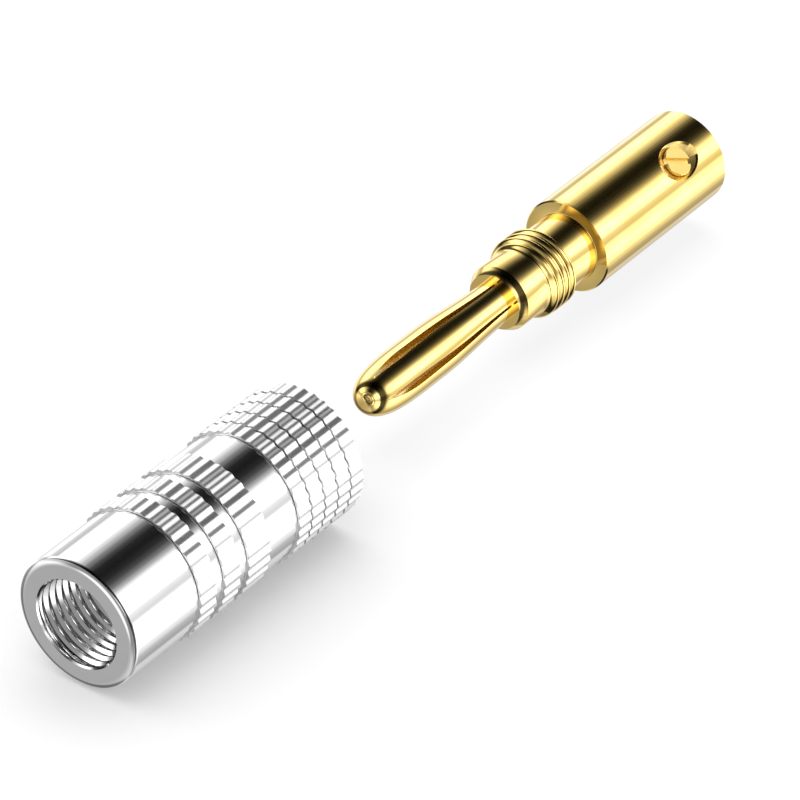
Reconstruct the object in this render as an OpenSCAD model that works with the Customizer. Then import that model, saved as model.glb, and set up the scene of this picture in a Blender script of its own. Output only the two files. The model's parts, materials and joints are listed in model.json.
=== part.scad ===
// Banana plug with a screw-on sleeve, shown with the sleeve unscrewed and drawn off the front.
// The pin points along +X, and the origin is the mouth of the wire bore in the barrel's rear face.

/* [Barrel] */
// Diameter of the barrel that takes the wire
barrel_d = 8.1; // [7.6:0.1:9]
// Length of the barrel
barrel_l = 16.8; // [14:0.1:22]
// Chamfer on the barrel's two rims
barrel_edge = 0.15; // [0.05:0.05:0.4]
// Diameter of the wire bore
wire_bore_d = 3.6; // [2.8:0.1:4.2]
// Depth of the wire bore, up to its drilled point
wire_bore_l = 13.6; // [11:0.1:14]
// Length of the drilled point
drill_point_l = 0.9; // [0.5:0.1:1.2]

/* [Neck, thread and nose] */
// Diameter of the neck between barrel and thread
neck_d = 5.9; // [5:0.1:6.4]
// Length of the neck
neck_l = 3.3; // [2:0.1:5]
// Outer diameter of the thread
thread_d = 7; // [6.6:0.1:7.6]
// Pitch of the thread
thread_pitch = 0.75; // [0.5:0.05:1]
// Depth of the thread
thread_depth = 0.35; // [0.15:0.05:0.5]
// Length of the thread
thread_l = 2.3; // [1.5:0.1:3.5]
// Length of the cone in front of the thread
run_out_l = 1; // [0.5:0.1:1.5]
// Diameter of the nose
nose_d = 5.7; // [5:0.1:6.4]
// Length of the nose
nose_l = 3.2; // [2:0.1:5]
// Width of the chamfer on the nose's front edge
nose_edge = 0.45; // [0.2:0.05:0.7]
// Length of that chamfer along the nose
nose_edge_l = 0.75; // [0.3:0.05:1]

/* [Contact pin] */
// Diameter of the pin where it leaves the nose
pin_root_d = 3.6; // [3.4:0.1:4]
// Free diameter of the pin at its fullest
pin_bulge_d = 4.4; // [4.1:0.1:4.8]
// Length of the pin in front of the nose
pin_l = 17.3; // [15:0.1:22]
// Distance from the nose to the straight stretch at the pin's fullest
land_start = 9; // [7:0.1:10]
// Length of that straight stretch
land_l = 2; // [1:0.1:3]
// Bluntness of the tip, where 2 is an ellipse
tip_power = 2.9; // [2:0.1:3.5]
// Wall of the spring leaves
leaf_wall = 0.7; // [0.4:0.05:0.9]
// Number of spring leaves
leaf_count = 5; // [3:1:6]
// Angle of the first leaf from straight up
leaf_turn = 40; // [0:1:90]
// Width of the slots where they start
slot_root_w = 0.2; // [0.1:0.05:0.4]
// Width of the slots at their widest
slot_w = 0.72; // [0.4:0.02:0.8]
// Distance that they go on widening past the straight stretch
slot_overrun = 1.7; // [0.5:0.1:2.5]
// Width of the slots where they end
slot_end_w = 0.24; // [0.1:0.02:0.4]
// Solid ring between the nose and the slots
root_ring_l = 0.3; // [0.2:0.1:1]
// Solid tip in front of the slots
solid_tip_l = 1.2; // [1:0.1:2]
// Diameter of the shank that is pressed into the nose
shank_d = 2.8; // [2:0.1:3.2]
// Length of that shank
shank_l = 5; // [3:0.1:6]

/* [Set screws] */
// Diameter of the set screws
screw_d = 2.5; // [1.8:0.1:2.8]
// Length of the set screws
screw_l = 2.1; // [1:0.05:2.2]
// Distance from the barrel's rear face to the screws
screw_x = 4.85; // [3:0.05:9]
// Angle of the first screw from straight up
screw_turn = 41; // [0:1:90]
// Width of the driver slot
driver_slot_w = 0.5; // [0.3:0.05:0.7]
// Depth of the driver slot
driver_slot_depth = 0.35; // [0.2:0.05:0.7]
// Angle of the driver slot from the barrel's length
driver_slot_turn = -30; // [-90:1:90]
// Chamfer on the screws' two ends
screw_edge = 0.05; // [0.03:0.01:0.25]
// Radial gap between a screw and its hole
screw_clearance = 0.05; // [0.02:0.01:0.1]
// Diameter of the countersink at the barrel's surface
countersink_d = 4.5; // [3.5:0.1:5]
// Depth of the countersink
countersink_depth = 0.5; // [0.3:0.05:0.9]

/* [Sleeve] */
// Diameter of the sleeve's plain stretches
sleeve_d = 10.9; // [10.4:0.1:12.5]
// Distance that the sleeve reaches past the barrel's rear face when screwed home
sleeve_overhang = 0.45; // [0.1:0.05:1.5]
// Gap between the pin's tip and the sleeve that is drawn off
drawn_off_gap = 7.4; // [2:0.1:20]
// Width of the chamfer on the sleeve's front edge
front_edge = 0.7; // [0.3:0.05:0.9]
// Length of that chamfer along the sleeve
front_edge_l = 0.35; // [0.2:0.05:0.8]
// Chamfer at the mouth of the threaded bore
mouth_edge = 0.12; // [0.05:0.01:0.3]
// Chamfer at the rear mouth, which takes the barrel
rear_edge = 0.3; // [0.1:0.05:0.45]
// Radial gap between the thread and the sleeve's bore
thread_clearance = 0.15; // [0.05:0.01:0.3]
// Radial gap between the barrel and the sleeve
barrel_clearance = 0.2; // [0.1:0.05:0.4]
// Gap between the barrel's front face and the sleeve's shoulder when screwed home
shoulder_clearance = 0.1; // [0.05:0.05:0.4]

/* [Knurling] */
// Height of the knurling over the plain stretches
knurl_rise = 0.28; // [0.15:0.01:0.4]
// Depth of the grooves between the teeth
tooth_depth = 0.13; // [0.08:0.01:0.2]
// Number of teeth round the sleeve
tooth_count = 36; // [24:1:60]
// Share of each tooth's pitch that its flat top takes
tooth_top = 0.2; // [0.1:0.05:0.4]
// Share of each tooth's pitch that the groove's floor takes
tooth_floor = 0.2; // [0.1:0.05:0.4]
// Angle of the first tooth from straight up
tooth_turn = 1.2; // [0:0.1:10]
// Number of knurled rings in front
ring_count = 3; // [1:1:3]
// Distance from the sleeve's front face to the first ring
ring_start = 7.4; // [5:0.1:8]
// Distance from one ring to the next
ring_pitch = 2.85; // [2.4:0.05:3.2]
// Width of the rings
ring_w = 1.85; // [1:0.05:2.2]
// Added width of the last ring
last_ring_extra = 0.75; // [0:0.05:1]
// Number of knurled bands at the rear
band_count = 5; // [1:1:5]
// Distance from one band to the next
band_pitch = 1.6; // [1.2:0.1:1.7]
// Width of the grooves between the bands
band_groove_w = 0.18; // [0.1:0.02:0.4]

/* [Hidden] */
$fn = 64;

gold = [0.85, 0.68, 0.32];
bright_nickel = [0.8, 0.81, 0.82];

// Overlap of cutters past the faces that they open
cut_past = 1;

barrel_r = barrel_d / 2;
wire_bore_r = wire_bore_d / 2;
neck_r = neck_d / 2;
thread_r = thread_d / 2;
nose_r = nose_d / 2;

// Places along the plug, from the barrel's rear face
thread_x = barrel_l + neck_l;
run_out_x = thread_x + thread_l;
nose_x = run_out_x + run_out_l;
body_l = nose_x + nose_l;
tip_x = body_l + pin_l;

// The thread's crests, each a ridge with a flat top between two flanks
crest_count = floor(thread_l / thread_pitch);
crest_from = 0.3;
crest_to = 0.6;

// The pin's places, from the nose
land_end = land_start + land_l;
bulge_r = pin_bulge_d / 2;
root_r = pin_root_d / 2;
slot_end = pin_l - solid_tip_l;
rise_steps = 8;
tip_step = 7.5;
// Inner radius from which the slots are cut
slot_from_r = 0.4;
// The hollow behind the leaves, which ends clear of the slots' ends at the root and at the tip
hollow_root_gap = 0.2;
hollow_tip_gap = 1.5;
hollow_taper = 0.4;
hollow_start = root_ring_l + hollow_root_gap;
hollow_end = slot_end - hollow_tip_gap;
// Where the slots are widest
slot_widest = land_end + slot_overrun;

screw_hole_d = screw_d + 2 * screw_clearance;

sleeve_r = sleeve_d / 2;
knurl_r = sleeve_r + knurl_rise;
tooth_floor_r = knurl_r - tooth_depth;
sleeve_l = body_l + sleeve_overhang;
sleeve_x = tip_x + drawn_off_gap;
sleeve_bore_r = thread_r + thread_clearance;
counterbore_r = barrel_r + barrel_clearance;
// Depth of the counterbore from the sleeve's rear face to its shoulder
counterbore_l = sleeve_overhang + barrel_l + shoulder_clearance;

// Turns a shape drawn along +Z to lie along +X
module along_x() {
    rotate([0, 90, 0])
        children();
}

// Places a shape drawn along +Z on the axis of a set screw, on the first side or the second
module on_screw_axis(side) {
    translate([screw_x, 0, 0])
        rotate([180 * side - screw_turn, 0, 0])
            children();
}

// Ridges of the thread, as radius and place along the plug
function crest_points() = [
    for (i = [0 : crest_count - 1])
        let (start = thread_x + i * thread_l / crest_count, width = thread_l / crest_count)
            each [
                [thread_r - thread_depth, start],
                [thread_r, start + crest_from * width],
                [thread_r, start + crest_to * width]
            ]
];

module body_outline() {
    polygon(concat(
        [
            [0, 0],
            [barrel_r - barrel_edge, 0],
            [barrel_r, barrel_edge],
            [barrel_r, barrel_l - barrel_edge],
            [barrel_r - barrel_edge, barrel_l],
            [neck_r, barrel_l],
            [neck_r, thread_x]
        ],
        crest_points(),
        [
            [nose_r, nose_x],
            [nose_r, body_l - nose_edge_l],
            [nose_r - nose_edge, body_l],
            [0, body_l]
        ]
    ));
}

module wire_bore() {
    translate([-cut_past, 0, 0])
        along_x()
            cylinder(h = wire_bore_l + cut_past, r = wire_bore_r);
    translate([wire_bore_l, 0, 0])
        along_x()
            cylinder(h = drill_point_l, r1 = wire_bore_r, r2 = 0);
}

module pin_socket() {
    translate([body_l - shank_l, 0, 0])
        along_x()
            cylinder(h = shank_l + cut_past, d = shank_d);
}

module screw_hole() {
    past = countersink_depth + cut_past;
    past_d = screw_hole_d + (countersink_d - screw_hole_d) * past / countersink_depth;
    cylinder(h = barrel_r, d = screw_hole_d);
    translate([0, 0, barrel_r - countersink_depth])
        cylinder(h = past, d1 = screw_hole_d, d2 = past_d);
}

module plug_body() {
    color(gold)
        difference() {
            along_x()
                rotate_extrude()
                    body_outline();
            wire_bore();
            pin_socket();
            for (side = [0, 1])
                on_screw_axis(side)
                    screw_hole();
        }
}

// Rise of the pin from the nose to its fullest, thinned by an inset
function rise_points(inset, from) = [
    for (i = [0 : rise_steps])
        let (t = from + (land_start - from) * i / rise_steps)
            [root_r + (bulge_r - root_r) * (1 - cos(180 * t / land_start)) / 2 - inset, t]
];

// Blunt tip of the pin, from its fullest to the axis
function tip_points() = [
    for (angle = [0 : tip_step : 90])
        [bulge_r * pow(cos(angle), 2 / tip_power), land_end + (pin_l - land_end) * pow(sin(angle), 2 / tip_power)]
];

module pin_outline() {
    polygon(concat(
        [[0, -shank_l], [shank_d / 2, -shank_l], [shank_d / 2, 0]],
        rise_points(0, 0),
        tip_points()
    ));
}

// Hollow behind the leaves
module cage_outline() {
    polygon(concat(
        [[0, hollow_start]],
        rise_points(leaf_wall, hollow_start),
        [[bulge_r - leaf_wall, land_end], [bulge_r - leaf_wall - hollow_taper, hollow_end], [0, hollow_end]]
    ));
}

// Slot between two leaves, which widens towards the tip and closes again before it
module slot_outline() {
    polygon([
        [root_ring_l, -slot_root_w / 2],
        [slot_widest, -slot_w / 2],
        [slot_end, -slot_end_w / 2],
        [slot_end, slot_end_w / 2],
        [slot_widest, slot_w / 2],
        [root_ring_l, slot_root_w / 2]
    ]);
}

module contact_pin() {
    color(gold)
        translate([body_l, 0, 0])
            difference() {
                along_x()
                    rotate_extrude()
                        pin_outline();
                along_x()
                    rotate_extrude()
                        cage_outline();
                for (i = [0 : leaf_count - 1])
                    rotate([360 * (i + 0.5) / leaf_count - leaf_turn, 0, 0])
                        translate([0, 0, slot_from_r])
                            linear_extrude(height = bulge_r)
                                slot_outline();
            }
}

// Set screw with its tip level with the wall of the wire bore
module set_screw(side) {
    screw_r = screw_d / 2;
    color(gold)
        on_screw_axis(side)
            translate([0, 0, wire_bore_r])
                difference() {
                    rotate_extrude()
                        polygon([
                            [0, 0],
                            [screw_r - screw_edge, 0],
                            [screw_r, screw_edge],
                            [screw_r, screw_l - screw_edge],
                            [screw_r - screw_edge, screw_l],
                            [0, screw_l]
                        ]);
                    rotate([0, 0, driver_slot_turn])
                        translate([-screw_d, -driver_slot_w / 2, screw_l - driver_slot_depth])
                            cube([2 * screw_d, driver_slot_w, screw_l]);
                }
}

module set_screw_a() {
    set_screw(0);
}

module set_screw_b() {
    set_screw(1);
}

// Round of straight teeth, each a flat top with two flanks and a groove
module tooth_outline() {
    pitch_angle = 360 / tooth_count;
    top_angle = pitch_angle * tooth_top / 2;
    floor_angle = pitch_angle * (1 - tooth_floor) / 2;
    polygon([
        for (i = [0 : tooth_count - 1])
            let (middle = 180 - tooth_turn + i * pitch_angle)
                each [
                    tooth_floor_r * [cos(middle - floor_angle), sin(middle - floor_angle)],
                    knurl_r * [cos(middle - top_angle), sin(middle - top_angle)],
                    knurl_r * [cos(middle + top_angle), sin(middle + top_angle)],
                    tooth_floor_r * [cos(middle + floor_angle), sin(middle + floor_angle)]
                ]
    ]);
}

module knurled_ring(from, width) {
    translate([0, 0, from])
        linear_extrude(height = width)
            tooth_outline();
}

module sleeve_core() {
    rotate_extrude()
        polygon([
            [0, 0],
            [sleeve_r, 0],
            [sleeve_r, sleeve_l - front_edge_l],
            [sleeve_r - front_edge, sleeve_l],
            [0, sleeve_l]
        ]);
}

// The sleeve's bore: a counterbore for the barrel, the stretch that is threaded, and both mouths eased
module sleeve_bore() {
    rotate_extrude()
        polygon([
            [0, -cut_past],
            [counterbore_r + rear_edge + cut_past, -cut_past],
            [counterbore_r, rear_edge],
            [counterbore_r, counterbore_l],
            [sleeve_bore_r, counterbore_l],
            [sleeve_bore_r, sleeve_l - mouth_edge],
            [sleeve_bore_r + mouth_edge + cut_past, sleeve_l + cut_past],
            [0, sleeve_l + cut_past]
        ]);
}

module sleeve() {
    color(bright_nickel)
        translate([sleeve_x, 0, 0])
            along_x()
                difference() {
                    union() {
                        sleeve_core();
                        for (i = [0 : ring_count - 1]) {
                            width = ring_w + (i == ring_count - 1 ? last_ring_extra : 0);
                            knurled_ring(sleeve_l - ring_start - i * ring_pitch - width, width);
                        }
                        for (i = [0 : band_count - 1])
                            knurled_ring(i * band_pitch, band_pitch - band_groove_w);
                    }
                    sleeve_bore();
                }
}

plug_body();
contact_pin();
set_screw_a();
set_screw_b();
sleeve();
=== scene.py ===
"""Banana plug with its knurled sleeve drawn off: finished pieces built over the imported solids."""

import json
import math

import bmesh
import bpy
import numpy as np
from bpy.props import FloatProperty, FloatVectorProperty, IntProperty, PointerProperty
from mathutils import Matrix, Vector


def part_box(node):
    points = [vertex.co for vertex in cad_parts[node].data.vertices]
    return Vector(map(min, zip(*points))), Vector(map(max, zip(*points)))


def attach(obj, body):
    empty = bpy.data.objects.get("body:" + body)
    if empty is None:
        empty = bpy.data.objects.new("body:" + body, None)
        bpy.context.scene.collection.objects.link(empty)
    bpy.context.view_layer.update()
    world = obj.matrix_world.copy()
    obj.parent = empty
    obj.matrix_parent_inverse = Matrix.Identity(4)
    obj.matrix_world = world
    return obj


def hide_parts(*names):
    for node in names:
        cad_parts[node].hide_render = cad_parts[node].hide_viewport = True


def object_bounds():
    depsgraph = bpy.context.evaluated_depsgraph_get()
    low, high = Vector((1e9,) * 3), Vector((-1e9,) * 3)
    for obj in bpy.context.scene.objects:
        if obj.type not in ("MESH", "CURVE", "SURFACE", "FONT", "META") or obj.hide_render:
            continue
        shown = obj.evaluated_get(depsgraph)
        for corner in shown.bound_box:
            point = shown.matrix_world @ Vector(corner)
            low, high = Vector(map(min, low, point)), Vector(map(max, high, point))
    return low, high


bl_info = {
    "name": "Banana plug",
    "version": (1, 0, 0),
    "blender": (4, 5, 0),
    "location": "3D View > Sidebar > Banana plug",
    "description": "Builds a gilded banana plug with a knurled screw-on sleeve",
    "category": "Object",
}

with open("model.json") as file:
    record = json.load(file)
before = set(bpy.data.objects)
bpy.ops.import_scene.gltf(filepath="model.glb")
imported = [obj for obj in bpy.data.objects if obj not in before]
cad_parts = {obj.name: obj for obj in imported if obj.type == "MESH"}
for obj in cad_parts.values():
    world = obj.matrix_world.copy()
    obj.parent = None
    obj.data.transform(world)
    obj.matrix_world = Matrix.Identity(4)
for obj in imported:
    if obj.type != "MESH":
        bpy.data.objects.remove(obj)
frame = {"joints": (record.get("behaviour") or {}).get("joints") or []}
CAD_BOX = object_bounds()

MM = 0.001
FULL_TURN = 2 * math.pi
# Points closer than this are one point, in metres
WELD = 1e-6
# Edges sharper than this stay crisp, in degrees
CREASE = 30

SLEEVE_LOW, SLEEVE_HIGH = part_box("sleeve")
BODY_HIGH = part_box("plug_body")[1]
PIN_LOW, PIN_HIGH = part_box("contact_pin")
SCREW_FEED = {j["name"]: Vector(j["axis"]) for j in frame["joints"]}


def length(name, description, default):
    """A size in metres that a user would change."""
    return FloatProperty(name=name, description=description, default=default, min=0, unit="LENGTH", precision=6)


def tint(name, description, default):
    """A colour that a user would change."""
    return FloatVectorProperty(
        name=name, description=description, default=default, size=3, min=0, max=1, subtype="COLOR"
    )


def factor(name, description, default):
    """A number from 0 to 1 that a user would change."""
    return FloatProperty(name=name, description=description, default=default, min=0, max=1, subtype="FACTOR")


def bearing(name, description, degrees):
    """An angle that a user would change."""
    return FloatProperty(name=name, description=description, default=math.radians(degrees), subtype="ANGLE")


class SleeveSizes(bpy.types.PropertyGroup):
    """Sizes of the sleeve, with places along it counted from its front face."""

    plain_radius: length("Plain radius", "Radius of the plain stretches", 5.45 * MM)
    front_edge: length("Front edge", "Width of the chamfer on the front edge", 0.7 * MM)
    front_edge_length: length("Front edge's length", "Length of that chamfer along the sleeve", 0.35 * MM)
    mouth_edge: length("Mouth edge", "Chamfer at the mouth of the threaded bore", 0.12 * MM)
    rear_edge: length("Rear edge", "Chamfer at the rear mouth", 0.3 * MM)
    bore_radius: length("Bore radius", "Radius of the thread's crests inside", 3.65 * MM)
    thread_depth: length("Thread depth", "Depth of the thread inside", 0.36 * MM)
    thread_pitch: length("Thread pitch", "Pitch of the thread inside", 0.75 * MM)
    counterbore_radius: length("Counterbore radius", "Radius of the bore for the barrel", 4.25 * MM)
    counterbore_depth: length("Counterbore depth", "Depth of the counterbore from the rear", 17.35 * MM)
    teeth: IntProperty(name="Teeth", description="Knurled teeth round the sleeve", default=36, min=12, max=80)
    tooth_depth: length("Tooth depth", "Depth of the grooves between the teeth", 0.13 * MM)
    tooth_turn: bearing("Tooth turn", "Angle of the first tooth from straight up", 1.2)
    ring_edge: length("Ring edge", "Chamfer on the rims of the knurled rings", 0.03 * MM)
    ring_foot: length("Ring foot", "Length of the slope at the foot of the knurled rings", 0.055 * MM)
    ring_start: length("Ring start", "Distance from the front face to the first ring", 7.4 * MM)
    ring_pitch: length("Ring pitch", "Distance from one ring to the next", 2.85 * MM)
    ring_width: length("Ring width", "Width of the rings", 1.85 * MM)
    last_ring_extra: length("Last ring's extra", "Added width of the last ring", 0.75 * MM)
    rings: IntProperty(name="Rings", description="Knurled rings in front", default=3, min=1, max=3)
    bands: IntProperty(name="Bands", description="Knurled bands at the rear", default=5, min=1, max=5)
    band_pitch: length("Band pitch", "Distance from one band to the next", 1.6 * MM)
    band_groove: length("Band groove", "Width of the grooves between the bands", 0.18 * MM)


class BodySizes(bpy.types.PropertyGroup):
    """Sizes of the plug's turned body, with places counted from the barrel's rear face."""

    barrel_length: length("Barrel length", "Length of the barrel", 16.8 * MM)
    barrel_edge: length("Barrel edge", "Chamfer of the barrel's rims", 0.12 * MM)
    bore_radius: length("Bore radius", "Radius of the wire bore", 1.8 * MM)
    bore_depth: length("Bore depth", "Depth of the wire bore", 13.6 * MM)
    drill_point: length("Drill point", "Length of the bore's drilled point", 0.9 * MM)
    neck_radius: length("Neck radius", "Radius of the neck", 2.95 * MM)
    neck_length: length("Neck length", "Length of the neck", 3.3 * MM)
    neck_fillet: length("Neck fillet", "Fillet between the barrel and the neck", 0.06 * MM)
    thread_radius: length("Thread radius", "Radius of the thread's crests", 3.5 * MM)
    thread_depth: length("Thread depth", "Depth of the thread", 0.35 * MM)
    thread_pitch: length("Thread pitch", "Pitch of the thread", 0.75 * MM)
    thread_length: length("Thread length", "Length of the thread", 2.3 * MM)
    run_out: length("Run-out", "Length of the cone in front of the thread", 1 * MM)
    nose_radius: length("Nose radius", "Radius of the nose", 2.85 * MM)
    nose_edge: length("Nose edge", "Width of the chamfer on the nose's front edge", 0.45 * MM)
    nose_edge_length: length("Nose edge's length", "Length of that chamfer along the nose", 0.75 * MM)
    socket_radius: length("Socket radius", "Radius of the hole that holds the pin", 1.4 * MM)


class PinSizes(bpy.types.PropertyGroup):
    """Sizes of the spring pin, with places counted from the nose."""

    leaves: IntProperty(name="Leaves", description="Spring leaves", default=5, min=3, max=8)
    root_radius: length("Root radius", "Radius where the pin leaves the nose", 1.8 * MM)
    land_start: length("Land start", "Distance to the straight stretch", 9 * MM)
    land_length: length("Land length", "Length of the straight stretch", 2 * MM)
    wall: length("Leaf wall", "Thickness of the leaves", 0.7 * MM)
    slot_width: length("Slot width", "Width of the slots at their widest", 0.74 * MM)
    slot_root: length("Slot root", "Width of the slots near the nose", 0.2 * MM)
    slot_overrun: length(
        "Slot overrun", "Distance that the slots go on widening past the straight stretch", 1.7 * MM
    )
    solid_tip: length("Solid tip", "Length of the tip in front of the slots", 1.2 * MM)
    shank_length: length("Shank length", "Length that is pressed into the nose", 5 * MM)
    first_leaf: bearing("First leaf", "Angle of the first leaf from straight up", 40)


class ScrewSizes(bpy.types.PropertyGroup):
    """Sizes of the set screws."""

    place: length("Place", "Distance from the barrel's rear face", 4.85 * MM)
    radius: length("Radius", "Radius of the screws", 1.25 * MM)
    long: length("Length", "Length of the screws", 2.1 * MM)
    edge: length("Edge", "Chamfer of the screws' ends", 0.05 * MM)
    slot_width: length("Slot width", "Width of the driver slot", 0.5 * MM)
    slot_depth: length("Slot depth", "Depth of the driver slot", 0.35 * MM)
    clearance: length("Clearance", "Gap round the screws", 0.05 * MM)
    sink_radius: length("Countersink radius", "Radius of the countersink at the surface", 2.25 * MM)
    sink_depth: length("Countersink depth", "Depth of the countersink", 0.5 * MM)
    slot_turn: bearing("Slot turn", "Angle of the driver slot from the barrel's length", -30)


class Finishes(bpy.types.PropertyGroup):
    """Colours and polish of the two platings."""

    gilding: tint("Gilding", "Colour of the gilded brass", (0.86, 0.63, 0.215))
    gilding_deep: tint("Deep gilding", "Colour of the gilding where it is a little thicker", (0.83, 0.59, 0.18))
    plating: tint("Bright plating", "Colour of the sleeve's plating", (0.75, 0.75, 0.755))
    plating_deep: tint("Hazy plating", "Colour of the plating where it is a little hazy", (0.72, 0.722, 0.73))
    gilding_rough: factor("Gilding roughness", "Roughness of the gilding", 0.055)
    plating_rough: factor("Plating roughness", "Roughness of the plating", 0.07)


class StageSettings(bpy.types.PropertyGroup):
    """Camera, floor and light."""

    azimuth: bearing("Azimuth", "Direction of the camera round the plug", 126.6)
    elevation: bearing("Elevation", "Height of the camera over the horizon", 35.2)
    camera_place: FloatVectorProperty(
        name="Camera place", description="Where the camera stands", size=3, subtype="TRANSLATION",
        default=(316.7 * MM, 206.2 * MM, 241.6 * MM),
    )
    lens: FloatProperty(name="Lens", description="Focal length of the camera", default=246.3, unit="CAMERA")
    floor: tint("Floor", "Colour of the floor", (0.96, 0.96, 0.96))


class PlugSettings(bpy.types.PropertyGroup):
    """All that a user would change."""

    sleeve: PointerProperty(type=SleeveSizes)
    body: PointerProperty(type=BodySizes)
    pin: PointerProperty(type=PinSizes)
    screw: PointerProperty(type=ScrewSizes)
    finish: PointerProperty(type=Finishes)
    stage: PointerProperty(type=StageSettings)


# Curves


def ease(t):
    """Smooth step from 0 to 1."""
    t = np.clip(t, 0, 1)
    return t * t * (3 - 2 * t)


def domed_chamfer(x, r, dx, dr, dome, skew=1, steps=9):
    """Domed chamfer from (x, r) to (x + dx, r + dr), rounded more towards its far end by a skew over 1."""
    long = math.hypot(dx, dr)
    t = np.linspace(0, 1, steps)
    lift = dome * np.sin(math.pi * t**skew)
    return list(zip(x + dx * t - dr / long * lift, r + dr * t + dx / long * lift))


def broken_edge(x, r, run, first, last, steps=5):
    """Rounding from (x, r) over a run along the axis, whose slope grows from the first angle to the last."""
    slopes = np.tan(np.radians(np.linspace(first, last, steps)))
    drop = np.concatenate([[0], np.cumsum(slopes) * run / steps])
    return list(zip(np.linspace(x, x + run, steps + 1), r - drop))


def helix_rows(low, high, pitch, angles, radius_at, per_turn=12):
    """Rows that follow a right-hand helix between two places along the axis.

    radius_at takes the places along the axis and the share of a pitch, and gives the radius.
    """
    rows = []
    for i in range(math.ceil((high - low + pitch) / pitch * per_turn) + 1):
        x = np.clip(low - pitch + i * pitch / per_turn + pitch * angles / FULL_TURN, low, high)
        rows.append((x, radius_at(x, (i % per_turn) / per_turn)))
    return rows


# Meshes


def new_object(name, data):
    """An object in the scene for a mesh, a camera or a lamp."""
    made = bpy.data.objects.new(name, data)
    bpy.context.scene.collection.objects.link(made)
    return made


def welded_mesh(name, verts, faces, crease=CREASE):
    """A closed mesh whose coinciding points are joined, with smooth faces and crisp edges."""
    mesh = bpy.data.meshes.new(name)
    mesh.from_pydata(verts, [], faces)
    work = bmesh.new()
    work.from_mesh(mesh)
    bmesh.ops.remove_doubles(work, verts=work.verts, dist=WELD)
    bmesh.ops.dissolve_degenerate(work, edges=work.edges, dist=WELD / 10)
    bmesh.ops.recalc_face_normals(work, faces=work.faces)
    work.to_mesh(mesh)
    work.free()
    crisp(mesh, crease)
    return mesh


def crisp(mesh, crease=CREASE):
    """Shades the mesh smooth, apart from edges sharper than the crease angle in degrees."""
    mesh.shade_smooth()
    mesh.set_sharp_from_angle(angle=math.radians(crease))


def grid_faces(rows, columns):
    """Quads between neighbouring rows of a grid."""
    i, j = np.meshgrid(np.arange(rows - 1), np.arange(columns - 1), indexing="ij")
    first = (i * columns + j).ravel()
    return np.stack([first, first + 1, first + columns + 1, first + columns], 1)


def turned_mesh(name, rows, angles, crease=CREASE):
    """A mesh turned about X from rows of places along the axis and radii, each a number or one per angle."""
    x = np.array([np.broadcast_to(row[0], angles.shape) for row in rows])
    r = np.array([np.broadcast_to(row[1], angles.shape) for row in rows])
    points = np.stack([x, r * np.cos(angles), r * np.sin(angles)], -1).reshape(-1, 3)
    return welded_mesh(name, points.tolist(), grid_faces(len(rows), len(angles)).tolist(), crease)


def cut(target, cutter):
    """Cuts the cutter's volume out of the target for good, and removes the cutter."""
    modifier = target.modifiers.new("cut", "BOOLEAN")
    modifier.operation = "DIFFERENCE"
    modifier.solver = "EXACT"
    modifier.object = cutter
    evaluated = target.evaluated_get(bpy.context.evaluated_depsgraph_get())
    mesh = bpy.data.meshes.new_from_object(evaluated)
    target.modifiers.clear()
    old = target.data
    target.data = mesh
    bpy.data.meshes.remove(old)
    bpy.data.objects.remove(cutter)


def soften(target, width, segments=2, crease=40):
    """Rounds the object's crisp edges a little, so that they catch the light."""
    bevel = target.modifiers.new("edge", "BEVEL")
    bevel.width = width
    bevel.segments = segments
    bevel.limit_method = "ANGLE"
    bevel.angle_limit = math.radians(crease)


def dress(piece, node, body, slot, material):
    """Gives a finished piece its material and its body, and hides the node it stands for; a piece in the
    gilded_brass slot is kept out of diffuse rays.
    """
    piece.data.materials.clear()
    piece.data.materials.append(material)
    # Keeps a warm glow off the floor
    piece.visible_diffuse = slot != "gilded_brass"
    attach(piece, body)
    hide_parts(node)


# Materials


# Added roughness of hazy patches and of satin stretches
HAZE = 0.03
SATIN = 0.32
# Soft edge of the hazy patches in their noise
HAZE_EDGE = 0.35, 0.65
LATHE_MARK = 0.0003 * MM
# Depth under the barrel's surface, and under the surface of the pin's root, at which the satin begins
HOLE_SATIN = 0.117 * MM
SLOT_SATIN = 0.233 * MM


def math_node(tree, operation, *values):
    """Output of a maths node on its inputs, each a socket or a number."""
    node = tree.nodes.new("ShaderNodeMath")
    node.operation = operation
    for socket, value in zip(node.inputs, values):
        if isinstance(value, bpy.types.NodeSocket):
            tree.links.new(value, socket)
        else:
            socket.default_value = value
    return node.outputs[0]


def mixed(tree, share, first, second):
    """Output that goes from the first value to the second with the share, each a socket or a number."""
    node = tree.nodes.new("ShaderNodeMix")
    node.data_type = "FLOAT"
    for name, value in (("Factor", share), ("A", first), ("B", second)):
        if isinstance(value, bpy.types.NodeSocket):
            tree.links.new(value, node.inputs[name])
        else:
            node.inputs[name].default_value = value
    return node.outputs["Result"]


def step_node(tree, value, low, high):
    """Output that goes smoothly from 0 to 1 as the value goes from low to high."""
    node = tree.nodes.new("ShaderNodeMapRange")
    node.interpolation_type = "SMOOTHSTEP"
    node.inputs["From Min"].default_value = low
    node.inputs["From Max"].default_value = high
    tree.links.new(value, node.inputs["Value"])
    return node.outputs["Result"]


def group_node(tree, group, **values):
    """A placed node group with its inputs set."""
    node = tree.nodes.new("ShaderNodeGroup")
    node.node_tree = group
    for name, value in values.items():
        node.inputs[name.replace("_", " ")].default_value = value
    return node


def new_group(name, inputs, outputs):
    """A shader node group of number sockets, its inputs given with their values."""
    group = bpy.data.node_groups.new(name, "ShaderNodeTree")
    for socket, value in inputs.items():
        group.interface.new_socket(socket, in_out="INPUT", socket_type="NodeSocketFloat").default_value = value
    for socket in outputs:
        group.interface.new_socket(socket, in_out="OUTPUT", socket_type="NodeSocketFloat")
    return group


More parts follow.
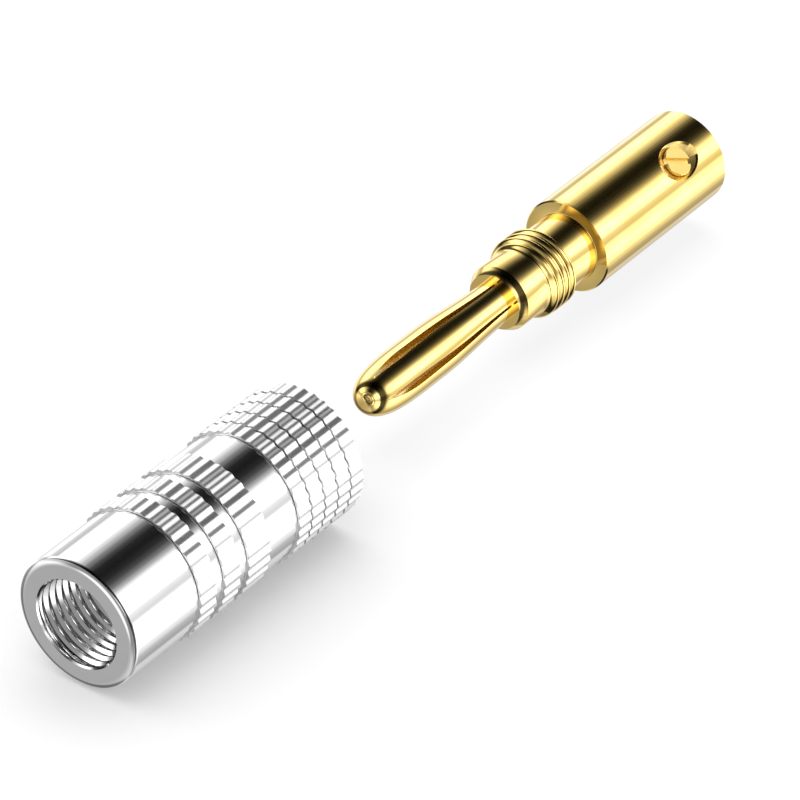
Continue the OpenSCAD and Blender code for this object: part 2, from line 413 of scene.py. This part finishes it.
def lathe_marks_group():
    """Node group of fine rings that a lathe leaves, along the axis on a barrel and outwards on a flat face."""
    name = "Lathe marks"
    if name in bpy.data.node_groups:
        return bpy.data.node_groups[name]
    group = new_group(name, {"Marks per millimetre": 30}, ("Height", "Radius", "Along"))
    nodes, links = group.nodes, group.links
    given = nodes.new("NodeGroupInput")
    made = nodes.new("NodeGroupOutput")
    place = nodes.new("ShaderNodeTexCoord")
    parts = nodes.new("ShaderNodeSeparateXYZ")
    links.new(place.outputs["Object"], parts.inputs[0])
    across = nodes.new("ShaderNodeCombineXYZ")
    links.new(parts.outputs["Y"], across.inputs["Y"])
    links.new(parts.outputs["Z"], across.inputs["Z"])
    radius = nodes.new("ShaderNodeVectorMath")
    radius.operation = "LENGTH"
    links.new(across.outputs[0], radius.inputs[0])
    run = math_node(group, "ADD", parts.outputs["X"], radius.outputs["Value"])
    in_mm = math_node(group, "MULTIPLY", run, 1 / MM)
    count = math_node(group, "MULTIPLY", in_mm, given.outputs["Marks per millimetre"])
    noise = nodes.new("ShaderNodeTexNoise")
    noise.noise_dimensions = "1D"
    noise.inputs["Scale"].default_value = 1
    noise.inputs["Detail"].default_value = 2
    links.new(count, noise.inputs["W"])
    links.new(noise.outputs["Fac"], made.inputs["Height"])
    links.new(radius.outputs["Value"], made.inputs["Radius"])
    links.new(parts.outputs["X"], made.inputs["Along"])
    return group


def handling_haze_group():
    """Node group of soft, cloudy patches where a polished plating has been handled."""
    name = "Handling haze"
    if name in bpy.data.node_groups:
        return bpy.data.node_groups[name]
    group = new_group(name, {"Patches per metre": 250, "Low": 0.1, "High": 0.15}, ("Roughness", "Mask"))
    nodes, links = group.nodes, group.links
    given = nodes.new("NodeGroupInput")
    made = nodes.new("NodeGroupOutput")
    place = nodes.new("ShaderNodeTexCoord")
    noise = nodes.new("ShaderNodeTexNoise")
    noise.inputs["Detail"].default_value = 3
    noise.inputs["Roughness"].default_value = 0.55
    links.new(place.outputs["Object"], noise.inputs["Vector"])
    links.new(given.outputs["Patches per metre"], noise.inputs["Scale"])
    mask = step_node(group, noise.outputs["Fac"], *HAZE_EDGE)
    links.new(mask, made.inputs["Mask"])
    rough = mixed(group, mask, given.outputs["Low"], given.outputs["High"])
    links.new(rough, made.inputs["Roughness"])
    return group


def plated_metal(name, colour, deep, rough, satin_mask):
    """Polished plated metal with a little haze, faint lathe marks and satin stretches.

    satin_mask takes the tree, the place along the axis and the radius, and gives the satin stretches' mask.
    """
    if name in bpy.data.materials:
        return bpy.data.materials[name]
    material = bpy.data.materials.new(name)
    material.use_nodes = True
    tree = material.node_tree
    shader = tree.nodes["Principled BSDF"]
    shader.inputs["Metallic"].default_value = 1
    clouds = group_node(tree, handling_haze_group(), Low=rough, High=rough + HAZE)
    blend = tree.nodes.new("ShaderNodeMix")
    blend.data_type = "RGBA"
    blend.inputs["A"].default_value = (*colour, 1)
    blend.inputs["B"].default_value = (*deep, 1)
    tree.links.new(clouds.outputs["Mask"], blend.inputs["Factor"])
    tree.links.new(blend.outputs["Result"], shader.inputs["Base Color"])
    marks = group_node(tree, lathe_marks_group())
    mask = satin_mask(tree, marks.outputs["Along"], marks.outputs["Radius"])
    satin = math_node(tree, "MULTIPLY", mask, SATIN)
    tree.links.new(math_node(tree, "ADD", clouds.outputs["Roughness"], satin), shader.inputs["Roughness"])
    bump = tree.nodes.new("ShaderNodeBump")
    bump.inputs["Strength"].default_value = 1
    bump.inputs["Distance"].default_value = LATHE_MARK
    tree.links.new(marks.outputs["Height"], bump.inputs["Height"])
    tree.links.new(bump.outputs["Normal"], shader.inputs["Normal"])
    return material


def gilding(settings):
    """The gold finish of the body, the pin and the screws, satin in the barrel's holes and the pin's slots."""
    look, body, pin = settings.finish, settings.body, settings.pin

    def hollows(tree, along, radius):
        in_barrel = math_node(tree, "LESS_THAN", along, body.barrel_length - 2 * body.barrel_edge)
        in_hole = math_node(tree, "LESS_THAN", radius, BODY_HIGH.z - HOLE_SATIN)
        in_pin = math_node(tree, "LESS_THAN", along, PIN_HIGH.x - 2 * pin.solid_tip)
        in_slot = math_node(tree, "LESS_THAN", radius, pin.root_radius - SLOT_SATIN)
        holes = math_node(tree, "MULTIPLY", in_barrel, in_hole)
        slots = math_node(tree, "MULTIPLY", in_pin, in_slot)
        return math_node(tree, "MAXIMUM", holes, slots)

    return plated_metal("polished_gilding", look.gilding, look.gilding_deep, look.gilding_rough, hollows)


def bright_plating(settings):
    """The bright finish of the sleeve, satin on the knurling."""
    look = settings.finish
    knurl = settings.sleeve.plain_radius + settings.sleeve.ring_foot

    def knurling(tree, along, radius):
        return math_node(tree, "GREATER_THAN", radius, knurl)

    return plated_metal("polished_plating", look.plating, look.plating_deep, look.plating_rough, knurling)


# Sleeve


TOOTH_COLUMNS = 10
# Rise of a ring's foot over its length
FOOT_SLOPE = 0.5
# Share of the front chamfer's length that is broken outside, with its first and last slope in degrees
FRONT_BREAK = 0.6
FRONT_SLOPES = 18, 32
# Dome of the rest of that chamfer
FRONT_DOME = 0.05 * MM
# Steepness of the inner thread's flanks, which are straight at 1 and leave flat crests and roots over it
INNER_FLANK = 1.3
SLEEVE_CREASE = 20


def sleeve_angles(sleeve):
    """Angles round the sleeve, evenly spaced over each tooth, and the height of the teeth there from 0 to 1."""
    first = math.pi / 2 - sleeve.tooth_turn
    angles = first + np.linspace(0, FULL_TURN, sleeve.teeth * TOOTH_COLUMNS + 1)
    return angles, 0.5 + 0.5 * np.cos(sleeve.teeth * (angles - first))


def knurl_rows(low, high, sleeve, heights):
    """Rows of a knurled ring from its rear edge to its front edge, with wavy teeth and both rims just broken."""
    teeth = SLEEVE_HIGH.z - sleeve.tooth_depth * (1 - heights)
    edge, foot = sleeve.ring_edge, sleeve.ring_foot
    foot_top = sleeve.plain_radius + FOOT_SLOPE * foot
    return [
        (max(low - foot, SLEEVE_LOW.x), sleeve.plain_radius),
        (low, foot_top),
        (low, teeth - edge),
        (low + edge, teeth),
        (high - edge, teeth),
        (high, teeth - edge),
        (high, foot_top),
        (high + foot, sleeve.plain_radius),
    ]


def sleeve_outside(sleeve, heights):
    """Rows along the outside of the sleeve, from its rear face to its front face."""
    rear, front = SLEEVE_LOW.x, SLEEVE_HIGH.x
    rows = []
    for i in range(sleeve.bands):
        start = rear + i * sleeve.band_pitch
        rows += knurl_rows(start, start + sleeve.band_pitch - sleeve.band_groove, sleeve, heights)
    for i in reversed(range(sleeve.rings)):
        width = sleeve.ring_width + (sleeve.last_ring_extra if i == sleeve.rings - 1 else 0)
        high = front - sleeve.ring_start - i * sleeve.ring_pitch
        rows += knurl_rows(high - width, high, sleeve, heights)
    edge = front - sleeve.front_edge_length
    rows.append((edge - sleeve.ring_edge, sleeve.plain_radius))
    rows += broken_edge(edge, sleeve.plain_radius, sleeve.front_edge_length * FRONT_BREAK, *FRONT_SLOPES)
    x, r = rows[-1]
    rim = sleeve.plain_radius - sleeve.front_edge
    rows += domed_chamfer(x, r, front - x, rim - r, FRONT_DOME)[1:]
    rows.append((front, rim - sleeve.ring_edge))
    return rows


def sleeve_inside(sleeve, angles):
    """Rows along the inside of the sleeve, from its front face to its rear face."""
    rear, front = SLEEVE_LOW.x, SLEEVE_HIGH.x
    bore, mouth = sleeve.bore_radius, sleeve.mouth_edge
    shoulder = rear + sleeve.counterbore_depth
    low, high = shoulder + mouth, front - mouth
    rear_edge = sleeve.rear_edge
    fade = sleeve.thread_pitch / 2

    def thread_radius(x, share):
        deep = abs(2 * share - 1)
        groove = np.clip(INNER_FLANK * (deep - 0.5) + 0.5, 0, 1)
        return bore + sleeve.thread_depth * groove * ease((x - low) / fade) * ease((high - x) / fade)

    thread = helix_rows(low, high, sleeve.thread_pitch, angles, thread_radius)
    wide = sleeve.counterbore_radius
    return [
        (front, bore + mouth),
        (high, bore),
        *reversed(thread),
        (shoulder, bore),
        (shoulder, wide),
        (rear + rear_edge, wide),
        (rear, wide + rear_edge),
    ]


class PLUG_OT_sleeve(bpy.types.Operator):
    """Make the knurled sleeve with its inner thread"""

    bl_idname = "banana_plug.sleeve"
    bl_label = "Sleeve"

    def execute(self, context):
        settings = context.scene.banana_plug
        sleeve = settings.sleeve
        angles, heights = sleeve_angles(sleeve)
        rows = sleeve_outside(sleeve, heights) + sleeve_inside(sleeve, angles)
        rows.append(rows[0])
        piece = new_object("knurled_sleeve", turned_mesh("knurled_sleeve", rows, angles, SLEEVE_CREASE))
        dress(piece, "sleeve", "sleeve", "bright_plating", bright_plating(settings))
        return {"FINISHED"}


# Plug body


BODY_COLUMNS = 192
SCREW_COLUMNS = 96
# Dome of the chamfer on the nose, and how far it leans towards the face
NOSE_DOME = 0.03 * MM
NOSE_SKEW = 1.6
# Length of the cone behind the thread over its height, and of the thread's fade there over its pitch
LEAD_CONE = 0.6
LEAD_FADE = 0.3


def body_rows(body, angles):
    """Rows from the end of the wire bore, round the outside, to the bottom of the pin's socket."""
    barrel_r = BODY_HIGH.z
    end = body.barrel_length
    edge = body.barrel_edge
    thread_start = end + body.neck_length
    thread_end = thread_start + body.thread_length
    nose_start = thread_end + body.run_out
    face = BODY_HIGH.x
    lead = body.thread_radius - body.neck_radius
    fillet = body.neck_fillet
    nose_edge = body.nose_edge_length
    bend = np.linspace(0, math.pi / 2, 5)

    def blank(x):
        rise = body.neck_radius + lead * np.clip((x - thread_start) / (LEAD_CONE * lead), 0, 1)
        fall = body.thread_radius - (body.thread_radius - body.nose_radius) * ease((x - thread_end) / body.run_out)
        return np.minimum(rise, fall)

    def thread_radius(x, share):
        groove = 1 - math.sin(math.pi * share)
        fade_in = ease((x - thread_start) / (LEAD_FADE * body.thread_pitch))
        fade = fade_in * ease((nose_start - x) / body.run_out)
        return blank(x) - body.thread_depth * groove * fade

    return [
        (body.bore_depth + body.drill_point, 0),
        (body.bore_depth, body.bore_radius),
        (edge, body.bore_radius),
        (0, body.bore_radius + edge),
        (0, barrel_r - edge),
        (edge, barrel_r),
        (end - edge, barrel_r),
        (end, barrel_r - edge),
        *zip(end + fillet * (1 - np.cos(bend)), body.neck_radius + fillet * (1 - np.sin(bend))),
        *helix_rows(thread_start, nose_start, body.thread_pitch, angles, thread_radius),
        *domed_chamfer(face - nose_edge, body.nose_radius, nose_edge, -body.nose_edge, NOSE_DOME, NOSE_SKEW),
        (face, body.socket_radius),
        (PIN_LOW.x, body.socket_radius),
        (PIN_LOW.x, 0),
    ]


def screw_matrix(settings, joint):
    """Places a piece drawn along X on a set screw's axis, pointing out of the barrel, with its slot along Y."""
    outward = -SCREW_FEED[joint].normalized()
    slot = Matrix.Rotation(settings.screw.slot_turn, 3, outward) @ Vector((1, 0, 0))
    third = outward.cross(slot)
    turn = Matrix((outward, slot, third)).transposed().to_4x4()
    return Matrix.Translation((settings.screw.place, 0, 0)) @ turn


def screw_hole(settings, joint):
    """Cutter for a set screw's hole and its countersink."""
    screw = settings.screw
    hole_r = screw.radius + screw.clearance
    surface = BODY_HIGH.z
    past = screw.sink_depth
    slope = (screw.sink_radius - hole_r) / screw.sink_depth
    rows = [
        (0, 0),
        (0, hole_r),
        (surface - screw.sink_depth, hole_r),
        (surface + past, screw.sink_radius + past * slope),
        (surface + past, 0),
    ]
    cutter = new_object("hole", turned_mesh("hole", rows, np.linspace(0, FULL_TURN, SCREW_COLUMNS + 1)))
    cutter.matrix_world = screw_matrix(settings, joint)
    return cutter


def true_round(mesh, radius):
    """Sets the normals of the faces that lie at a radius from X to those of a true cylinder."""
    normals = [Vector()] * len(mesh.loops)
    for face in mesh.polygons:
        points = [mesh.vertices[v].co for v in face.vertices]
        if all(abs(math.hypot(p.y, p.z) - radius) < WELD for p in points):
            for loop, p in zip(face.loop_indices, points):
                normals[loop] = Vector((0, p.y, p.z)).normalized()
    mesh.normals_split_custom_set(normals)


class PLUG_OT_body(bpy.types.Operator):
    """Make the plug's turned body with its thread and the holes of the set screws"""

    bl_idname = "banana_plug.body"
    bl_label = "Plug body"

    def execute(self, context):
        settings = context.scene.banana_plug
        angles = np.linspace(0, FULL_TURN, BODY_COLUMNS + 1)
        rows = body_rows(settings.body, angles)
        piece = new_object("turned_body", turned_mesh("turned_body", rows, angles))
        for joint in ("front_screw_feed", "back_screw_feed"):
            cut(piece, screw_hole(settings, joint))
        crisp(piece.data)
        true_round(piece.data, BODY_HIGH.z)
        dress(piece, "plug_body", "plug", "gilded_brass", gilding(settings))
        return {"FINISHED"}


# Contact pin


LEAF_COLUMNS = 20
# Power of the curve that rounds the tip, and powers of the one that rounds the slots' ends there
TIP_POWER = 2.9
SLOT_END_POWERS = 1.6, 0.75
# Distance from the nose to the slots, and length of the closely spaced rows at each end of them
SLOT_START = 0.1 * MM
SLOT_ENDS = 1.5 * MM
# Rows along the slots at the root, between and at the tip, and over the solid tip
ROOT_ROWS, MIDDLE_ROWS, END_ROWS, TIP_ROWS = 10, 30, 12, 12


def pin_radius(pin, t):
    """Outer radius of the pin at a distance from the nose."""
    full = PIN_HIGH.z
    land_end = pin.land_start + pin.land_length
    swell = (1 - np.cos(math.pi * np.clip(t / pin.land_start, 0, 1))) / 2
    rise = pin.root_radius + (full - pin.root_radius) * swell
    reach = np.clip((t - land_end) / (PIN_HIGH.x - BODY_HIGH.x - land_end), 0, 1)
    return rise * (1 - reach**TIP_POWER) ** (1 / TIP_POWER)


def slot_half_width(pin, t, start, end):
    """Half the width of a slot between the leaves, which widens towards the tip and closes in a round end."""
    widest = pin.land_start + pin.land_length + pin.slot_overrun
    opening = pin.slot_root + (pin.slot_width - pin.slot_root) * np.clip((t - start) / (widest - start), 0, 1)
    root_end = np.sqrt(np.clip((t - start) / pin.slot_root, 0, 1))
    inner_power, outer_power = SLOT_END_POWERS
    tip_end = (1 - np.clip((t - widest) / (end - widest), 0, 1) ** inner_power) ** outer_power
    return opening * root_end * tip_end / 2


def leaf_grid(pin, middle, places, radii, gaps):
    """Points of one leaf's surface: a row for each place, from one slot's edge to the next."""
    sector = math.pi / pin.leaves
    half = sector - np.arcsin(np.clip(gaps / np.maximum(radii, WELD), 0, 1))
    across = np.linspace(-1, 1, LEAF_COLUMNS + 1)
    angle = middle + half[:, None] * across
    x = np.broadcast_to(places[:, None], angle.shape)
    r = radii[:, None]
    return np.stack([BODY_HIGH.x + x, r * np.cos(angle), r * np.sin(angle)], -1)


def pin_mesh(pin, shank_radius):
    """One closed mesh of all the leaves, joined at the root and the tip, with the shank."""
    tip = PIN_HIGH.x - BODY_HIGH.x
    start, end = SLOT_START, tip - pin.solid_tip
    slot_places = np.concatenate([
        start + (SLOT_ENDS - start) * np.linspace(0, 1, ROOT_ROWS) ** 2,
        np.linspace(SLOT_ENDS, end - SLOT_ENDS, MIDDLE_ROWS)[1:],
        end - SLOT_ENDS * np.linspace(1, 0, END_ROWS)[1:] ** 2,
    ])
    tip_places = end + (tip - end) * np.sin(np.linspace(0, math.pi / 2, TIP_ROWS))[1:]
    gaps = slot_half_width(pin, slot_places, start, end)
    gaps[[0, -1]] = 0
    shank_places = [-pin.shank_length, -pin.shank_length, 0, 0]
    outer_places = np.concatenate([shank_places, slot_places, tip_places])
    outer_radii = np.concatenate([
        [0, shank_radius, shank_radius, pin.root_radius],
        pin_radius(pin, slot_places),
        pin_radius(pin, tip_places),
    ])
    outer_gaps = np.concatenate([[0] * len(shank_places), gaps, [0] * len(tip_places)])
    slotted = slice(len(shank_places), len(shank_places) + len(slot_places))
    inner_radii = pin_radius(pin, slot_places) - pin.wall
    verts, faces = [], []

    def add(grid):
        offset = len(verts)
        faces.extend((grid_faces(*grid.shape[:2]) + offset).tolist())
        verts.extend(grid.reshape(-1, 3).tolist())

    for leaf in range(pin.leaves):
        middle = math.pi / 2 - pin.first_leaf + leaf * FULL_TURN / pin.leaves
        outer = leaf_grid(pin, middle, outer_places, outer_radii, outer_gaps)
        inner = leaf_grid(
            pin, middle,
            np.concatenate([[start], slot_places, [end]]),
            np.concatenate([[0], inner_radii, [0]]),
            np.concatenate([[0], gaps, [0]]),
        )
        add(outer)
        add(inner)
        for side in (0, -1):
            add(np.stack([outer[slotted, side], inner[1:-1, side]], 1))
    return welded_mesh("spring_pin", verts, faces)


class PLUG_OT_pin(bpy.types.Operator):
    """Make the slotted spring pin"""

    bl_idname = "banana_plug.pin"
    bl_label = "Contact pin"

    def execute(self, context):
        settings = context.scene.banana_plug
        piece = new_object("spring_pin", pin_mesh(settings.pin, settings.body.socket_radius))
        dress(piece, "contact_pin", "plug", "gilded_brass", gilding(settings))
        return {"FINISHED"}


# Set screws


SCREW_ROUNDING = 0.015 * MM


def screw_mesh(settings):
    """A set screw drawn along X, with its tip at the wall of the wire bore."""
    screw = settings.screw
    tip = settings.body.bore_radius
    head = tip + screw.long
    rows = [
        (tip, 0),
        (tip, screw.radius - screw.edge),
        (tip + screw.edge, screw.radius),
        (head - screw.edge, screw.radius),
        (head, screw.radius - screw.edge),
        (head, 0),
    ]
    return turned_mesh("set_screw", rows, np.linspace(0, FULL_TURN, SCREW_COLUMNS + 1))


def slot_cutter(settings):
    """Cutter for the driver slot, which runs along Y."""
    screw = settings.screw
    head = settings.body.bore_radius + screw.long
    work = bmesh.new()
    size = Matrix.Diagonal((2 * screw.slot_depth, 4 * screw.radius, screw.slot_width, 1))
    bmesh.ops.create_cube(work, size=1, matrix=Matrix.Translation((head, 0, 0)) @ size)
    mesh = bpy.data.meshes.new("slot")
    work.to_mesh(mesh)
    work.free()
    return new_object("slot", mesh)


class PLUG_OT_screws(bpy.types.Operator):
    """Make the two slotted set screws"""

    bl_idname = "banana_plug.screws"
    bl_label = "Set screws"

    def execute(self, context):
        settings = context.scene.banana_plug
        for name, node, body in (
            ("front_set_screw", "set_screw_a", "front_screw"),
            ("back_set_screw", "set_screw_b", "back_screw"),
        ):
            piece = new_object(name, screw_mesh(settings))
            cut(piece, slot_cutter(settings))
            crisp(piece.data)
            soften(piece, SCREW_ROUNDING)
            piece.matrix_world = screw_matrix(settings, body + "_feed")
            dress(piece, node, body, "gilded_brass", gilding(settings))
        return {"FINISHED"}


# Stage


# Nearest and furthest that the camera sees
CAMERA_CLIP = 0.01, 20
FLOOR_HALF = 3
FLOOR_ROUGHNESS = 0.9
KEY_PLACE = Vector((0.02, -0.2, 0.75))
KEY_SIZE = 1
KEY_POWER = 2.2


def camera_back(stage):
    """Direction from the plug to the camera."""
    a, e = stage.azimuth, stage.elevation
    return Vector((math.sin(a) * math.cos(e), -math.cos(a) * math.cos(e), math.sin(e)))


def add_camera(stage):
    """The photograph's viewpoint."""
    camera = new_object("camera", bpy.data.cameras.new("camera"))
    camera.location = stage.camera_place
    camera.rotation_mode = "QUATERNION"
    camera.rotation_quaternion = camera_back(stage).to_track_quat("Z", "Y")
    camera.data.lens = stage.lens
    camera.data.clip_start, camera.data.clip_end = CAMERA_CLIP
    bpy.context.scene.camera = camera


def add_floor(stage):
    """Pale floor that the sleeve lies on."""
    half, low = FLOOR_HALF, SLEEVE_LOW.z
    corners = [(-half, -half, low), (half, -half, low), (half, half, low), (-half, half, low)]
    mesh = bpy.data.meshes.new("floor")
    mesh.from_pydata(corners, [], [range(4)])
    floor = new_object("floor", mesh)
    material = bpy.data.materials.new("floor")
    material.use_nodes = True
    shader = material.node_tree.nodes["Principled BSDF"]
    shader.inputs["Base Color"].default_value = (*stage.floor, 1)
    shader.inputs["Roughness"].default_value = FLOOR_ROUGHNESS
    shader.inputs["Specular IOR Level"].default_value = 0
    mesh.materials.append(material)
    floor.visible_glossy = False


def add_lamp(name, place, target, size, power):
    """Soft square lamp that points at a target."""
    lamp = bpy.data.lights.new(name, "AREA")
    lamp.shape = "SQUARE"
    lamp.size = size
    lamp.energy = power
    made = new_object(name, lamp)
    made.location = place
    made.rotation_mode = "QUATERNION"
    made.rotation_quaternion = (place - target).to_track_quat("Z", "Y")
    made.visible_glossy = False


# Brightness of the studio that polished metal shows, by the angle about X from straight up towards +Y in degrees
STUDIO = (
    (-180, 0.85), (-150, 0.6), (-140, 0.52), (-104, 1.4), (-92, 0.8), (-84, 0.7), (-72, 2.0), (-60, 2.7),
    (-48, 2.0), (-38, 1.05), (-30, 0.62), (-22, 0.24), (-14, 0.07), (-7, 0.02), (4, 0.012), (14, 0.025),
    (22, 0.07), (29, 0.2), (36, 0.55), (41, 1.1), (48, 2.3), (60, 3.2), (70, 3.0), (80, 1.15), (90, 0.95),
    (100, 2.2), (120, 2.8), (133, 2.0), (145, 1.1), (160, 0.6), (171, 0.47), (180, 0.85),
)
STUDIO_BRIGHTEST = 3.5
# Edges along X of a dark curtain abreast of the plug, with the light that it takes low on one side and all round
CURTAIN_BACK = -0.2, 0.1
CURTAIN_FRONT = 0.5, 0.34
CURTAIN_LOW, CURTAIN_ROUND = 0.7, 0.96
# Soft edge of that low side, as a share of the turn about X
LOW_SIDE = 0.2, 0.245
# Edge along X of the dim end in front
DIM_END = 0.7, 0.85
DIM_LEVEL = 0.35
# Direction of a small light low in front, and the cosines of the angles at its soft edge
FRONT_LIGHT = Vector((0.92, -0.25, -0.3)).normalized()
FRONT_LIGHT_EDGE = 0.94, 0.98
# Brightness of the world for light that no polished metal shows
PLAIN_LEVEL = 0.9


def set_world():
    """White surroundings with a dark strip overhead, which polished metal shows as its dark stripe.

    A dark curtain hangs abreast of the plug, with a dim end and a small light in front.
    """
    world = bpy.data.worlds.new("studio")
    bpy.context.scene.world = world
    world.use_nodes = True
    tree = world.node_tree
    sky = tree.nodes["Background"]
    sky.inputs["Color"].default_value = (1, 1, 1, 1)
    place = tree.nodes.new("ShaderNodeTexCoord")
    parts = tree.nodes.new("ShaderNodeSeparateXYZ")
    tree.links.new(place.outputs["Generated"], parts.inputs[0])
    angle = math_node(tree, "ARCTAN2", parts.outputs["Y"], parts.outputs["Z"])
    share = math_node(tree, "ADD", math_node(tree, "DIVIDE", angle, FULL_TURN), 0.5)
    ramp = tree.nodes.new("ShaderNodeValToRGB")
    ramp.color_ramp.interpolation = "EASE"
    stops = ramp.color_ramp.elements
    while len(stops) < len(STUDIO):
        stops.new(1)
    for stop, (degrees, level) in zip(stops, STUDIO):
        stop.position = degrees / 360 + 0.5
        stop.color = (*[level / STUDIO_BRIGHTEST] * 3, 1)
    tree.links.new(share, ramp.inputs["Fac"])
    studio = math_node(tree, "MULTIPLY", ramp.outputs["Color"], STUDIO_BRIGHTEST)
    x = parts.outputs["X"]
    past_low = step_node(tree, share, *LOW_SIDE)
    abreast = math_node(tree, "MULTIPLY", step_node(tree, x, *CURTAIN_BACK), step_node(tree, x, *CURTAIN_FRONT))
    curtain = math_node(tree, "MULTIPLY", abreast, mixed(tree, past_low, CURTAIN_LOW, CURTAIN_ROUND))
    studio = math_node(tree, "MULTIPLY", studio, math_node(tree, "SUBTRACT", 1, curtain))
    studio = mixed(tree, step_node(tree, x, *DIM_END), studio, DIM_LEVEL)
    towards = tree.nodes.new("ShaderNodeVectorMath")
    towards.operation = "DOT_PRODUCT"
    tree.links.new(place.outputs["Generated"], towards.inputs[0])
    towards.inputs[1].default_value = FRONT_LIGHT
    front = step_node(tree, towards.outputs["Value"], *FRONT_LIGHT_EDGE)
    studio = math_node(tree, "ADD", studio, front)
    path = tree.nodes.new("ShaderNodeLightPath")
    first_sight = math_node(tree, "LESS_THAN", path.outputs["Diffuse Depth"], 0.5)
    mirrored = math_node(tree, "MULTIPLY", path.outputs["Is Glossy Ray"], first_sight)
    shown = mixed(tree, mirrored, PLAIN_LEVEL, studio)
    seen = math_node(tree, "MAXIMUM", shown, path.outputs["Is Camera Ray"])
    tree.links.new(seen, sky.inputs["Strength"])


class PLUG_OT_stage(bpy.types.Operator):
    """Set up the camera, the floor and the light"""

    bl_idname = "banana_plug.stage"
    bl_label = "Stage"

    def execute(self, context):
        stage = context.scene.banana_plug.stage
        add_camera(stage)
        add_floor(stage)
        add_lamp("key", KEY_PLACE, (CAD_BOX[0] + CAD_BOX[1]) / 2, KEY_SIZE, KEY_POWER)
        set_world()
        context.scene.view_settings.view_transform = "Standard"
        return {"FINISHED"}


class PLUG_PT_panel(bpy.types.Panel):
    """Lists the plug's pieces and the sizes that can be changed"""

    bl_idname = "PLUG_PT_panel"
    bl_label = "Banana plug"
    bl_space_type = "VIEW_3D"
    bl_region_type = "UI"
    bl_category = "Banana plug"

    def draw(self, context):
        settings = context.scene.banana_plug
        for operator in OPERATORS:
            self.layout.operator(operator.bl_idname)
        for part in PlugSettings.__annotations__:
            box = self.layout.box()
            group = getattr(settings, part)
            box.label(text=part.capitalize())
            for name in group.__annotations__:
                box.prop(group, name)


OPERATORS = (PLUG_OT_stage, PLUG_OT_body, PLUG_OT_pin, PLUG_OT_screws, PLUG_OT_sleeve)
CLASSES = (
    SleeveSizes, BodySizes, PinSizes, ScrewSizes, Finishes, StageSettings, PlugSettings, *OPERATORS, PLUG_PT_panel,
)


def register():
    for made in CLASSES:
        bpy.utils.register_class(made)
    bpy.types.Scene.banana_plug = PointerProperty(type=PlugSettings)


def unregister():
    del bpy.types.Scene.banana_plug
    for made in reversed(CLASSES):
        bpy.utils.unregister_class(made)


def main():
    register()
    bpy.ops.banana_plug.stage()
    bpy.ops.banana_plug.body()
    bpy.ops.banana_plug.pin()
    bpy.ops.banana_plug.screws()
    bpy.ops.banana_plug.sleeve()


if __name__ == "__main__":
    main()
